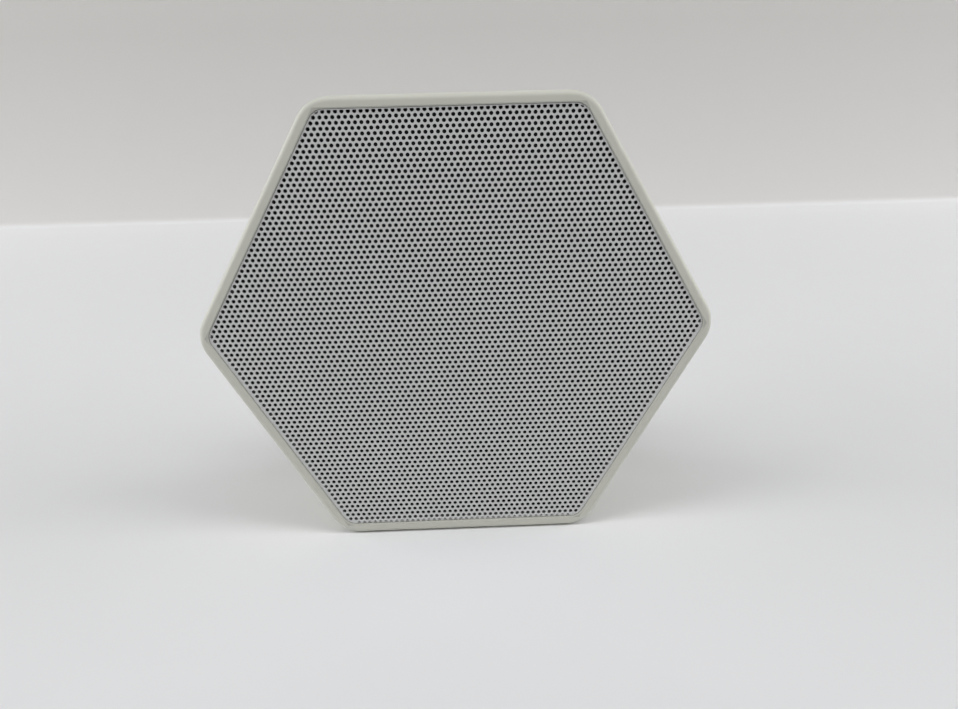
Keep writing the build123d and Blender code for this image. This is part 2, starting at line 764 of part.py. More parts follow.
# Each button is a dished cap with a retaining flange under the wall,
# and a stem that rests on its switch's plunger
button_proud = 0.5
button_top = strip_height + button_proud
button_round = 0.3
dish_radius, dish_depth = 4.2, 0.25
dish_sphere = (dish_radius**2 + dish_depth**2) / (2 * dish_depth)
flange_slack = 0.1
flange_top = chamber_apothem - flange_slack
button_flange_radius, button_flange_thickness = 6.3, 0.9
stem_end = switch_top + plunger_rise
for name, x in button_names.items():
    with BuildPart() as button:
        with BuildSketch(level(flange_top)):
            with Locations((x, controls_depth)):
                Circle(button_radius)
        extrude(amount=button_top - flange_top)
        fillet(button.faces().sort_by(Axis.Z)[-1].edges(), button_round)
        with Locations((x, front + controls_depth, centre + button_top - dish_depth + dish_sphere)):
            Sphere(dish_sphere, mode=Mode.SUBTRACT)
        with BuildSketch(level(flange_top)):
            with Locations((x, controls_depth)):
                Circle(button_flange_radius)
        extrude(amount=-button_flange_thickness)
        with BuildSketch(level(stem_end)):
            with Locations((x, controls_depth)):
                Circle(plunger_radius)
        extrude(amount=flange_top - button_flange_thickness - stem_end)
    pieces[f"{name}_button"] = button

    with BuildPart() as plunger:
        with BuildSketch(level(stem_end)):
            with Locations((x, controls_depth)):
                Circle(plunger_radius)
        extrude(amount=-plunger_rise - plunger_sunk)
    pieces[f"{name}_plunger"] = plunger

microphone_length, microphone_width, microphone_height = 3.8, 3, 0.9
boot_radius = 2.1
microphone_top = key_board_top + microphone_height
with BuildPart() as microphones:
    with BuildSketch(level(key_board_top)):
        with Locations(*microphone_places):
            Rectangle(microphone_length, microphone_width)
    extrude(amount=microphone_height)
pieces["microphones"] = microphones

with BuildPart() as microphone_boots:
    with BuildSketch(level(microphone_top)):
        with Locations(*microphone_places):
            Circle(boot_radius)
            Circle(microphone_hole, mode=Mode.SUBTRACT)
    extrude(amount=chamber_apothem - microphone_top)
pieces["microphone_boots"] = microphone_boots

led_length, led_width, led_height = 2, 1.3, 0.8
with BuildPart() as status_led:
    with BuildSketch(level(key_board_top)):
        with Locations(light_place):
            Rectangle(led_length, led_width)
    extrude(amount=led_height)
pieces["status_led"] = status_led

light_gap = 0.3
light_bottom = key_board_top + led_height + light_gap
light_collar_radius, light_collar_height = 1.6, 0.6
with BuildPart() as light_pipe:
    with BuildSketch(level(light_bottom)):
        with Locations(light_place):
            Circle(light_radius)
    extrude(amount=strip_height - light_bottom)
    with BuildSketch(level(chamber_apothem - light_collar_height)):
        with Locations(light_place):
            Circle(light_collar_radius)
    extrude(amount=light_collar_height)
pieces["light_pipe"] = light_pipe

# Ribbon cable with a slack bend between the key board and the main board, and a socket at each end
ribbon_depth = 34.2
ribbon_width, ribbon_thickness = 6, 0.3
ribbon_slack = 2
ribbon_bend = 1.2
socket_width, socket_thickness, socket_height = 9, 2.4, 2.2
upper_socket_bottom = key_board_top - key_board_thickness - socket_height
lower_socket_top = 30.5
lower_socket_height = 4
ribbon_length = upper_socket_bottom - lower_socket_top
ribbon_straight, ribbon_slope_end = 0.15 * ribbon_length, 0.4 * ribbon_length
with BuildPart() as ribbon_sockets:
    with BuildSketch(across(board_front)):
        with Locations((0, upper_socket_bottom + socket_height / 2)):
            Rectangle(socket_width, socket_height)
        with Locations((0, lower_socket_top - lower_socket_height / 2)):
            Rectangle(socket_width, lower_socket_height)
    extrude(amount=socket_thickness)
pieces["ribbon_sockets"] = ribbon_sockets

with BuildPart() as ribbon_cable:
    with BuildSketch(Plane.YZ) as ribbon_side:
        with BuildLine() as bend:
            FilletPolyline(
                (front + ribbon_depth, centre + upper_socket_bottom),
                (front + ribbon_depth, centre + upper_socket_bottom - ribbon_straight),
                (front + ribbon_depth - ribbon_slack, centre + upper_socket_bottom - ribbon_slope_end),
                (front + ribbon_depth - ribbon_slack, centre + lower_socket_top + ribbon_slope_end),
                (front + ribbon_depth, centre + lower_socket_top + ribbon_straight),
                (front + ribbon_depth, centre + lower_socket_top),
                radius=ribbon_bend,
            )
        trace(bend.line, line_width=ribbon_thickness)
    extrude(amount=ribbon_width / 2, both=True)
pieces["ribbon_cable"] = ribbon_cable

for name, piece in pieces.items():
    piece.part.label = name
    export_step(piece.part, f"parts/{name}.step")
print(len(pieces), "pieces,", len(opening_places), "openings in the grille")
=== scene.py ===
import bmesh
import bpy
import json
import math
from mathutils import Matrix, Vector


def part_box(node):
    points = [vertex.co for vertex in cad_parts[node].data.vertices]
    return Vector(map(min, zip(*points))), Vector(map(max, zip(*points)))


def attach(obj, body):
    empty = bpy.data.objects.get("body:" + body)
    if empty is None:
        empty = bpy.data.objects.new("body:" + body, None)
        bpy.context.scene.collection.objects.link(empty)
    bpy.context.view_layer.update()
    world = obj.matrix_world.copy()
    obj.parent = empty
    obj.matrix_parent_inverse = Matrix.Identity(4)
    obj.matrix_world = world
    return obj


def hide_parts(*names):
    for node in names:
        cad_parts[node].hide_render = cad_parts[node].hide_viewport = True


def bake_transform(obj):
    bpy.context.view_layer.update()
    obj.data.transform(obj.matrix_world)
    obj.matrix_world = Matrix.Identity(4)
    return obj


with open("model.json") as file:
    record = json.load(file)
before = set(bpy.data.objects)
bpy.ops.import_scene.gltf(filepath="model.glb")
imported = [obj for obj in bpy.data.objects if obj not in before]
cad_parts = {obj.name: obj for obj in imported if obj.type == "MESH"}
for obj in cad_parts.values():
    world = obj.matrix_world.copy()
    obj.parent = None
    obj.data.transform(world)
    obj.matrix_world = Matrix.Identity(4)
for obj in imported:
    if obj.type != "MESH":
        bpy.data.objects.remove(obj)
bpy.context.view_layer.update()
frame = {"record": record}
scene = bpy.context.scene
scene.view_settings.view_transform = "Standard"
mm = 0.001
weld = 0.0001 * mm                               # points closer than this are one point
sliver = 0.0005 * mm                             # edges and faces smaller than this go after a cut
cosThirty = math.cos(math.radians(30))           # a hexagon's apothem over the radius to its corners
sinThirty = 0.5
cornerSteps = 10                                 # segments in each rounded corner of sheet, skirt and cloth
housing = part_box("front_housing")
rimFace = housing[0].y                           # front of the rim, depths run back from here
axisHeight = (housing[0].z + housing[1].z) / 2   # driver axis above the table
slotOf = {sub["node"]: sub["material_slot"] for sub in frame["record"]["subparts"]}
print("frame loaded,", len(slotOf), "CAD nodes")


def addObject(name, data):
    piece = bpy.data.objects.new(name, data)
    scene.collection.objects.link(piece)
    return piece


# place in millimetres from the middle of the body and its axis, turn in degrees
cameraView = dict(place=(0.56, -226.81, 64.92), turn=(70.489, 1.359, -1.849), lens=31.024, sensor=36.0,
                  nearest=5.0)


def addCamera():
    data = bpy.data.cameras.new("photoCamera")
    data.lens = cameraView["lens"]
    data.sensor_width = cameraView["sensor"]
    data.clip_start = cameraView["nearest"] * mm
    camera = addObject("photoCamera", data)
    camera.location = Vector(cameraView["place"]) * mm + Vector((0.0, 0.0, axisHeight))
    camera.rotation_euler = [math.radians(v) for v in cameraView["turn"]]
    scene.camera = camera


addCamera()


# helpers for node trees, shader and geometry alike
def feed(tree, socket, value):   # a socket takes a link or a fixed value
    if isinstance(value, bpy.types.NodeSocket):
        tree.links.new(value, socket)
    else:
        socket.default_value = value


def firstOutput(node):
    return next(s for s in node.outputs if s.enabled)


def put(tree, kind, sockets, **settings):   # adds a node, gives its first output
    node = tree.nodes.new(kind)
    for key, value in settings.items():
        setattr(node, key, value)
    for label, value in sockets.items():
        socket = next(s for s in node.inputs if s.name == label and s.enabled)
        for one in value if isinstance(value, list) else [value]:
            feed(tree, socket, one)
    return firstOutput(node)


def sums(tree, how, *values, kind="ShaderNodeMath"):
    node = tree.nodes.new(kind)
    node.operation = how
    for socket, value in zip(node.inputs, values):
        feed(tree, socket, value)
    return firstOutput(node)


def splitOf(tree, vector):
    node = tree.nodes.new("ShaderNodeSeparateXYZ")
    tree.links.new(vector, node.inputs[0])
    return node.outputs


# helpers for finishes
def startFinish(name):
    material = bpy.data.materials.new(name)
    material.use_nodes = True
    tree = material.node_tree
    coords = tree.nodes.new("ShaderNodeTexCoord").outputs["Object"]
    return material, tree, coords


def dress(material, sockets):
    shader = material.node_tree.nodes["Principled BSDF"]
    for label, value in sockets.items():
        feed(material.node_tree, shader.inputs[label], value)
    return material


def noiseOf(tree, coords, size, detail, rough):   # size of a speck in metres
    return put(tree, "ShaderNodeTexNoise", {
        "Vector": coords, "Scale": 1 / size, "Detail": detail, "Roughness": rough})


def between(tree, value, low, high, fromLow=0.0, fromHigh=1.0):
    return put(tree, "ShaderNodeMapRange", {
        "Value": value, "From Min": fromLow, "From Max": fromHigh, "To Min": low, "To Max": high})


def toneMix(tree, share, toneA, toneB, how="MIX"):   # a tone is a colour or a socket
    sockets = {"Factor": share}
    for label, tone in (("A", toneA), ("B", toneB)):
        sockets[label] = tone if isinstance(tone, bpy.types.NodeSocket) else (*tone, 1)
    return put(tree, "ShaderNodeMix", sockets, data_type="RGBA", blend_type=how)


def bumpOf(tree, height, depth):
    return put(tree, "ShaderNodeBump", {"Height": height, "Distance": depth})


# table and wall in metres; a noise is the size of its specks, detail and roughness
stageSet = dict(width=1.5, front=-0.9, wall=0.482, sweep=0.005, height=0.4, steps=10,
                wallStart=(0.0003, 0.003), fade=0.15, speck=(0.02, 4.0, 0.5), speckShade=0.985,
                rough=0.6, gloss=0.3,
                floorTone=(0.83, 0.835, 0.845), wallLow=(0.755, 0.745, 0.735), wallHigh=(0.63, 0.62, 0.602))


def tablePaint():
    material, tree, coords = startFinish("tablePaint")
    height = splitOf(tree, coords)["Z"]
    # the wall is painted darker from the table up to fade, a painted shade towards its top
    wallShadeShare = between(tree, height, 0.0, 1.0, 0.0, stageSet["fade"])
    wallTone = toneMix(tree, wallShadeShare, stageSet["wallLow"], stageSet["wallHigh"])
    speck = noiseOf(tree, coords, *stageSet["speck"])
    darker = [v * stageSet["speckShade"] for v in stageSet["floorTone"]]
    floorTone = toneMix(tree, speck, darker, stageSet["floorTone"])
    onWall = between(tree, height, 0.0, 1.0, *stageSet["wallStart"])
    return dress(material, {"Base Color": toneMix(tree, onWall, floorTone, wallTone),
                            "Roughness": stageSet["rough"], "Specular IOR Level": stageSet["gloss"]})


def addStage():
    wall, sweep, steps = stageSet["wall"], stageSet["sweep"], stageSet["steps"]
    profile = [(stageSet["front"], 0.0)]
    for i in range(steps + 1):   # the table curves up into the wall
        a = math.pi / 2 * i / steps
        profile.append((wall - sweep * (1 - math.sin(a)), sweep * (1 - math.cos(a))))
    profile.append((wall, stageSet["height"]))
    half = stageSet["width"] / 2
    verts = [(x, y, z) for y, z in profile for x in (-half, half)]
    faces = [(2 * i, 2 * i + 1, 2 * i + 3, 2 * i + 2) for i in range(len(profile) - 1)]
    mesh = bpy.data.meshes.new("paleTable")
    mesh.from_pydata(verts, [], faces)
    mesh.shade_smooth()
    mesh.materials.append(tablePaint())
    table = addObject("paleTable", mesh)


addStage()

lightSet = dict(
    skyTone=(0.985, 0.99, 1.0), brightest=(0.0, -0.6, 0.8), skyRange=(0.03, 0.09), skySpread=(-0.4, 1.0),
    roomTone=(0.57, 0.56, 0.55), aim=(0.0, 0.0, 0.05),
    lamps=dict(
        overhead=dict(place=(0.0, -0.28, 1.2), wide=1.8, deep=0.4, power=7.4),
        leftPanel=dict(place=(-1.25, -0.10, 0.58), wide=1.4, deep=1.0, power=10.8),
        rightPanel=dict(place=(1.2, -0.10, 0.62), wide=1.2, deep=1.0, power=8.8)))


def addSky():
    world = bpy.data.worlds.new("studioSky")
    world.use_nodes = True
    tree = world.node_tree
    # the light of the sky is strongest high up in front
    gaze = tree.nodes.new("ShaderNodeTexCoord").outputs["Generated"]
    toward = sums(tree, "DOT_PRODUCT", gaze, lightSet["brightest"], kind="ShaderNodeVectorMath")
    sky = tree.nodes["Background"]
    feed(tree, sky.inputs["Color"], (*lightSet["skyTone"], 1))
    feed(tree, sky.inputs["Strength"], between(tree, toward, *lightSet["skyRange"], *lightSet["skySpread"]))
    # the camera and reflections see a plain room instead
    room = put(tree, "ShaderNodeBackground", {"Color": (*lightSet["roomTone"], 1)})
    path = tree.nodes.new("ShaderNodeLightPath").outputs
    mirrored = sums(tree, "MAXIMUM", path["Is Glossy Ray"], path["Is Transmission Ray"])
    seen = sums(tree, "MAXIMUM", path["Is Camera Ray"], mirrored)
    mix = tree.nodes.new("ShaderNodeMixShader")
    for socket, value in zip(mix.inputs, (seen, sky.outputs[0], room)):
        feed(tree, socket, value)
    tree.links.new(mix.outputs[0], tree.nodes["World Output"].inputs["Surface"])
    scene.world = world


def addLamps():
    for name, lampSet in lightSet["lamps"].items():
        data = bpy.data.lights.new(name, "AREA")
        data.shape = "RECTANGLE"
        data.size = lampSet["wide"]
        data.size_y = lampSet["deep"]
        data.energy = lampSet["power"]
        lamp = addObject(name, data)
        lamp.location = lampSet["place"]
        beam = Vector(lightSet["aim"]) - Vector(lampSet["place"])
        lamp.rotation_euler = beam.to_track_quat("-Z", "Y").to_euler()
        lamp.visible_camera = False


addSky()
addLamps()
print("camera, table and lights set")

# seam and seamDepth are millimetres, out from the axis and back from the rim; seamShade darkens that band as
# a painted shade
plasticLook = dict(tone=(0.70, 0.70, 0.628), shade=(0.665, 0.665, 0.595), cloud=(14 * mm, 3.0, 0.5),
                   grain=(0.28 * mm, 3.0, 0.6), grainDepth=0.010 * mm, rough=(0.40, 0.52), gloss=0.45,
                   seam=(55.75, 55.9), seamDepth=(0.6, 1.0), seamShade=0.76)


def shellPlastic():
    material, tree, coords = startFinish("shellPlastic")
    cloud = noiseOf(tree, coords, *plasticLook["cloud"])
    grain = noiseOf(tree, coords, *plasticLook["grain"])
    moulded = toneMix(tree, cloud, plasticLook["shade"], plasticLook["tone"])
    # a painted shade darkens the bevel along the grille, where the gap's shadow falls: distance from the
    # axis, measured as a hexagon does
    split = splitOf(tree, coords)
    beside = sums(tree, "ABSOLUTE", split["X"])
    above = sums(tree, "ABSOLUTE", sums(tree, "SUBTRACT", split["Z"], axisHeight))
    slantParts = [sums(tree, "MULTIPLY", beside, cosThirty), sums(tree, "MULTIPLY", above, sinThirty)]
    outward = sums(tree, "MAXIMUM", above, sums(tree, "ADD", *slantParts))
    seamShadeBand = between(tree, outward, plasticLook["seamShade"], 1.0, *[v * mm for v in plasticLook["seam"]])
    behind = between(tree, split["Y"], 0.0, 1.0, *[rimFace + v * mm for v in plasticLook["seamDepth"]])
    # the plastic is multiplied darker in the seam band, a painted shade
    seamShaded = toneMix(tree, 1.0, moulded, sums(tree, "MAXIMUM", seamShadeBand, behind), "MULTIPLY")
    return dress(material, {"Base Color": seamShaded, "Roughness": between(tree, grain, *plasticLook["rough"]),
                            "Normal": bumpOf(tree, grain, plasticLook["grainDepth"]),
                            "Specular IOR Level": plasticLook["gloss"]})


paintLook = dict(tone=(0.712, 0.718, 0.712), shade=(0.672, 0.678, 0.672), peel=(0.9 * mm, 1.0, 0.5),
                 fleck=(0.16 * mm, 2.0, 0.5), fleckShare=0.3, peelDepth=0.006 * mm, rough=(0.42, 0.55))


def grillePaint():
    material, tree, coords = startFinish("grillePaint")
    peel = noiseOf(tree, coords, *paintLook["peel"])
    fleck = noiseOf(tree, coords, *paintLook["fleck"])
    height = sums(tree, "ADD", peel, sums(tree, "MULTIPLY", fleck, paintLook["fleckShare"]))
    return dress(material, {"Base Color": toneMix(tree, fleck, paintLook["shade"], paintLook["tone"]),
                            "Roughness": between(tree, peel, *paintLook["rough"]),
                            "Normal": bumpOf(tree, height, paintLook["peelDepth"])})


# bands is the wave texture's scale for yarns a metre apart
weaveLook = dict(yarn=0.45 * mm, bands=0.314, waver=0.3, depth=0.06 * mm, rough=0.9,
                 tone=(0.014, 0.014, 0.016), gap=(0.004, 0.004, 0.005))


def scrimWeave():
    material, tree, coords = startFinish("scrimWeave")
    scale = weaveLook["bands"] / weaveLook["yarn"]
    yarns = {"Vector": coords, "Scale": scale, "Distortion": weaveLook["waver"]}
    waves = []
    for direction in ("X", "Z"):
        wave = tree.nodes.new("ShaderNodeTexWave")
        wave.bands_direction = direction
        for label, value in yarns.items():
            feed(tree, wave.inputs[label], value)
        waves.append(wave.outputs["Fac"])
    weave = sums(tree, "MULTIPLY", *waves)
    return dress(material, {"Base Color": toneMix(tree, weave, weaveLook["gap"], weaveLook["tone"]),
                            "Roughness": weaveLook["rough"],
                            "Normal": bumpOf(tree, weave, weaveLook["depth"])})


# the plainer finishes share their noise: grain over clouds that are larger by cloudScale
plainNoise = dict(grain=(3.0, 0.6), cloud=(3.0, 0.5), cloudScale=12, cloudLift=0.5)


def plainFinish(name, darker, lighter, grainSize, depth, rough, metal=0.0, clear=0.0):   # sizes in mm
    material, tree, coords = startFinish(name)
    grain = noiseOf(tree, coords, grainSize * mm, *plainNoise["grain"])
    cloud = noiseOf(tree, coords, plainNoise["cloudScale"] * grainSize * mm, *plainNoise["cloud"])
    share = sums(tree, "MULTIPLY", grain, sums(tree, "ADD", cloud, plainNoise["cloudLift"]))
    return dress(material, {"Base Color": toneMix(tree, share, darker, lighter),
                            "Roughness": between(tree, cloud, *rough), "Metallic": metal,
                            "Normal": bumpOf(tree, grain, depth * mm), "Transmission Weight": clear})


# darker and lighter tone, size and depth of the grain, roughness from and to, metal, clearness
plainFinishes = {
    "black_plastic": ((0.018, 0.018, 0.020), (0.026, 0.026, 0.028), 0.25, 0.010, (0.42, 0.58)),
    "foam": ((0.020, 0.020, 0.021), (0.040, 0.040, 0.042), 0.35, 0.050, (0.85, 0.97)),
    "black_rubber": ((0.020, 0.020, 0.021), (0.034, 0.033, 0.032), 0.40, 0.015, (0.62, 0.80)),
    "screw_steel": ((0.40, 0.40, 0.41), (0.56, 0.55, 0.53), 0.30, 0.004, (0.25, 0.42), 1.0),
    "driver_steel": ((0.030, 0.030, 0.033), (0.055, 0.055, 0.060), 0.30, 0.006, (0.38, 0.55)),
    "ferrite": ((0.040, 0.040, 0.043), (0.085, 0.083, 0.080), 0.20, 0.012, (0.55, 0.75)),
    "cone_paper": ((0.026, 0.026, 0.027), (0.060, 0.058, 0.056), 0.60, 0.030, (0.75, 0.92)),
    "spider_cloth": ((0.36, 0.22, 0.08), (0.52, 0.36, 0.16), 0.35, 0.040, (0.60, 0.80)),
    "copper": ((0.62, 0.30, 0.12), (0.80, 0.46, 0.24), 0.25, 0.006, (0.22, 0.40), 1.0),
    "circuit_board": ((0.010, 0.085, 0.030), (0.020, 0.150, 0.055), 1.10, 0.008, (0.28, 0.42)),
    "shield_tin": ((0.52, 0.52, 0.51), (0.68, 0.68, 0.67), 0.50, 0.005, (0.28, 0.45), 1.0),
    "heatsink_aluminium": ((0.60, 0.60, 0.61), (0.76, 0.76, 0.77), 0.40, 0.005, (0.30, 0.46), 1.0),
    "wire_sleeve": ((0.26, 0.012, 0.012), (0.38, 0.025, 0.022), 0.40, 0.008, (0.40, 0.55)),
    "white_nylon": ((0.68, 0.66, 0.60), (0.77, 0.76, 0.71), 0.35, 0.008, (0.42, 0.58)),
    "clear_plastic": ((0.72, 0.74, 0.74), (0.84, 0.86, 0.86), 0.20, 0.006, (0.18, 0.32), 0.0, 0.55),
}

finishes = {name: plainFinish(name, *look) for name, look in plainFinishes.items()}
finishes["shell_plastic"] = shellPlastic()
finishes["grille_steel"] = grillePaint()
finishes["scrim_cloth"] = scrimWeave()
for node, slot in slotOf.items():
    for place in bpy.data.objects[node].material_slots:
        place.material = finishes[slot]
print("finishes made,", len(finishes))


# helpers for geometry node trees: lengths and counts of a piece's dictionary are the tree's inputs
def startTree(name, settings):
    tree = bpy.data.node_groups.new(name, "GeometryNodeTree")
    tree.is_modifier = True
    tree.interface.new_socket("Geometry", in_out="OUTPUT", socket_type="NodeSocketGeometry")
    kinds = dict.fromkeys(settings["lengths"], "Float") | dict.fromkeys(settings["counts"], "Int")
    kinds |= {"Place": "Vector", "Finish": "Material"}
    for label, kind in kinds.items():
        tree.interface.new_socket(label, in_out="INPUT", socket_type="NodeSocket" + kind)
    return tree, tree.nodes.new("NodeGroupInput").outputs, tree.nodes.new("NodeGroupOutput").inputs


def endTree(tree, form, turn, given, result):   # stands the form up in its place
    stood = put(tree, "GeometryNodeTransform", {
        "Geometry": form, "Rotation": (math.radians(turn), 0, 0), "Translation": given["Place"]})
    real = put(tree, "GeometryNodeRealizeInstances", {"Geometry": stood})
    finished = put(tree, "GeometryNodeSetMaterial", {"Geometry": real, "Material": given["Finish"]})
    tree.links.new(finished, result[0])


def runTree(name, tree, settings, depth, finish):
    carrier = addObject(name, bpy.data.meshes.new(name + "Empty"))
    modifier = carrier.modifiers.new("nodes", "NODES")
    modifier.node_group = tree
    values = {label: length * mm for label, length in settings["lengths"].items()} | settings["counts"]
    values |= {"Place": (0.0, rimFace + depth * mm, axisHeight), "Finish": finish}
    for item in tree.interface.items_tree:
        if item.in_out == "INPUT":
            modifier[item.identifier] = values[item.name]
    mesh = bpy.data.meshes.new_from_object(carrier.evaluated_get(bpy.context.evaluated_depsgraph_get()))
    carrier.modifiers.clear()
    carrier.data = mesh
    mesh.name = name
    return carrier


def clearSlivers(piece, bm):   # what bm already holds is joined to the piece
    bm.from_mesh(piece.data)
    bmesh.ops.dissolve_degenerate(bm, dist=sliver, edges=bm.edges[:])
    bm.to_mesh(piece.data)
    bm.free()
    print(piece.name, "has", sum(len(p.vertices) - 2 for p in piece.data.polygons), "triangles")


# the punched sheet and the skirt behind its edge, in millimetres
grilleSheet = dict(
    lengths={"Pitch": 1.495, "Row Shift": -0.2, "Hole Diameter": 0.97, "Apothem": 55.38, "Corner": 3.88,
             "Edge Land": 0.12, "Thickness": 0.25},
    counts={"Hole Sides": 8, "Rows": 86, "Columns": 88},
    front=0.4, skirtEnd=5.0, skirtWall=0.25, rayStart=10.0)


def perforationTree():
    tree, given, result = startTree("perforatedSheet", grilleSheet)
    rowStep = sums(tree, "MULTIPLY", given["Pitch"], cosThirty)
    lastColumn = sums(tree, "SUBTRACT", given["Columns"], 1)
    lastRow = sums(tree, "SUBTRACT", given["Rows"], 1)
    lattice = put(tree, "GeometryNodeMeshGrid", {
        "Size X": sums(tree, "MULTIPLY", given["Pitch"], lastColumn), "Vertices X": given["Columns"],
        "Size Y": sums(tree, "MULTIPLY", rowStep, lastRow), "Vertices Y": given["Rows"]})
    # every other row slides half a pitch, so that the holes stand in a 60 degree stagger
    spot = tree.nodes.new("GeometryNodeInputPosition").outputs[0]
    rowsUp = sums(tree, "DIVIDE", splitOf(tree, spot)["Y"], rowStep)
    rowNumber = sums(tree, "ROUND", sums(tree, "ADD", rowsUp, sums(tree, "MULTIPLY", lastRow, 0.5)))
    halfPitch = sums(tree, "MULTIPLY", given["Pitch"], 0.5)
    sideways = sums(tree, "MULTIPLY", sums(tree, "MODULO", rowNumber, 2.0), halfPitch)
    slide = put(tree, "ShaderNodeCombineXYZ", {"X": sideways, "Y": given["Row Shift"]})
    staggered = put(tree, "GeometryNodeSetPosition", {"Geometry": lattice, "Offset": slide})

    def outline(inset):
        apothem = sums(tree, "SUBTRACT", given["Apothem"], inset)
        ring = put(tree, "GeometryNodeCurvePrimitiveCircle", {
            "Resolution": 6, "Radius": sums(tree, "DIVIDE", apothem, cosThirty)}, mode="RADIUS")
        corner = sums(tree, "SUBTRACT", given["Corner"], inset)
        return put(tree, "GeometryNodeFilletCurve", {
            "Curve": ring, "Count": cornerSteps, "Radius": corner}, mode="POLY")

    def slab(curve, lift, height):   # closed plate between two levels
        face = put(tree, "GeometryNodeFillCurve", {"Curve": curve}, mode="NGONS")
        walls = put(tree, "GeometryNodeExtrudeMesh", {
            "Mesh": face, "Offset Scale": height, "Individual": False}, mode="FACES")
        whole = put(tree, "GeometryNodeJoinGeometry", {
            "Geometry": [walls, put(tree, "GeometryNodeFlipFaces", {"Mesh": face})]})
        welded = put(tree, "GeometryNodeMergeByDistance", {"Geometry": whole, "Distance": weld})
        return put(tree, "GeometryNodeTransform", {
            "Geometry": welded, "Translation": put(tree, "ShaderNodeCombineXYZ", {"Z": lift})})

    # a hole is punched where a ray through its middle meets the sheet inside the land along its edge
    field = put(tree, "GeometryNodeFillCurve", {"Curve": outline(given["Edge Land"])}, mode="NGONS")
    raised = sums(tree, "ADD", spot, (0, 0, grilleSheet["rayStart"] * mm), kind="ShaderNodeVectorMath")
    inside = put(tree, "GeometryNodeRaycast", {
        "Target Geometry": field, "Source Position": raised, "Ray Direction": (0, 0, -1)})
    # a polygon with the area of the round hole: r * sqrt(2 pi / (n sin(2 pi / n)))
    share = sums(tree, "DIVIDE", 2 * math.pi, given["Hole Sides"])
    spread = sums(tree, "SQRT", sums(tree, "DIVIDE", share, sums(tree, "SINE", share)))
    radius = sums(tree, "MULTIPLY", sums(tree, "MULTIPLY", given["Hole Diameter"], 0.5), spread)
    rim = put(tree, "GeometryNodeCurvePrimitiveCircle", {
        "Resolution": given["Hole Sides"], "Radius": radius}, mode="RADIUS")
    # the punch is twice as long as the sheet is thick, so that it stands out on both sides
    sunk, length = (sums(tree, "MULTIPLY", given["Thickness"], times) for times in (-0.5, 2.0))
    punches = put(tree, "GeometryNodeInstanceOnPoints", {
        "Points": staggered, "Selection": inside, "Instance": slab(rim, sunk, length)})
    closed = put(tree, "GeometryNodeMeshBoolean", {
        "Mesh 1": slab(outline(0.0), 0.0, given["Thickness"]),
        "Mesh 2": put(tree, "GeometryNodeRealizeInstances", {"Geometry": punches})},
        operation="DIFFERENCE", solver="MANIFOLD")
    flat = put(tree, "GeometryNodeSetShadeSmooth", {"Geometry": closed, "Shade Smooth": False})
    endTree(tree, flat, 90, given, result)
    return tree


def hexRing(apothem, corner, depth):   # one loop of points round the rounded hexagon, in metres
    reach = (apothem - corner) / cosThirty
    ring = []
    for k in range(6):
        turn = math.radians(60 * k)
        for i in range(cornerSteps + 1):
            a = turn + math.radians(60 * i / cornerSteps - 30)
            ring.append((reach * math.cos(turn) * mm + corner * math.cos(a) * mm, rimFace + depth * mm,
                         axisHeight + reach * math.sin(turn) * mm + corner * math.sin(a) * mm))
    return ring


def bridge(bm, loopA, loopB):
    for i in range(len(loopA)):
        j = (i + 1) % len(loopA)
        bm.faces.new((loopA[i], loopA[j], loopB[j], loopB[i]))


def loftLoop(rings):   # closed loop of rings, as a bmesh with its faces turned outwards
    bm = bmesh.new()
    loops = [[bm.verts.new(p) for p in ring] for ring in rings]
    for loopA, loopB in zip(loops, loops[1:] + loops[:1]):
        bridge(bm, loopA, loopB)
    bmesh.ops.recalc_face_normals(bm, faces=bm.faces[:])
    return bm


def makeGrille():
    lengths = grilleSheet["lengths"]
    back = grilleSheet["front"] + lengths["Thickness"]
    end, wall = grilleSheet["skirtEnd"], grilleSheet["skirtWall"]
    sheet = runTree("grilleSheet", perforationTree(), grilleSheet, back, finishes["grille_steel"])
    outer = lengths["Apothem"], lengths["Corner"]
    inner = lengths["Apothem"] - wall, lengths["Corner"] - wall
    corners = ((outer, back), (outer, end), (inner, end), (inner, back))
    clearSlivers(sheet, loftLoop([hexRing(*shape, depth) for shape, depth in corners]))
    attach(sheet, "speaker_body")
    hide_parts("grille")


makeGrille()


def addPrism(bm, lower, upper):   # closed form between two loops of points
    loops = [[bm.verts.new(p) for p in ring] for ring in (lower, upper)]
    bridge(bm, *loops)
    bm.faces.new(loops[0][::-1])
    bm.faces.new(loops[1])


def pieceFrom(bm, name, finish):
    bmesh.ops.recalc_face_normals(bm, faces=bm.faces[:])
    mesh = bpy.data.meshes.new(name)
    bm.to_mesh(mesh)
    bm.free()
    mesh.materials.append(finish)
    return addObject(name, mesh)


# black cloth stretched behind the sheet
scrim = dict(apothem=54.25, corner=2.75, front=1.2, thick=0.3)


def makeScrim():
    front = hexRing(scrim["apothem"], scrim["corner"], scrim["front"])
    back = hexRing(scrim["apothem"], scrim["corner"], scrim["front"] + scrim["thick"])
    bm = bmesh.new()
    addPrism(bm, front, back)
    area = max(f.calc_area() for f in bm.faces)
    cloth = pieceFrom(bm, "scrimCloth", finishes["scrim_cloth"])
    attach(cloth, "speaker_body")
    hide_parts("grille_cloth")


makeScrim()
print("scrim cloth stretched")

# pan-head screws in the wells of the rear cover, in millimetres
coverScrew = dict(
    lengths={"Circle": 54.0, "Head Radius": 2.7, "Rise": 2.0, "Crown": 0.55, "Shank Radius": 1.15,
             "Thread": 0.25, "Shank Length": 12.0, "Slot Width": 0.75, "Slot Length": 3.3, "Slot Depth": 1.1},
    counts={"Count": 6, "Head Sides": 32, "Head Rings": 5, "Side Rings": 2, "Shank Sides": 12, "Turns": 20,
            "Seed": 4},
    seat=42.0, crownPower=2.5, topShare=0.45)


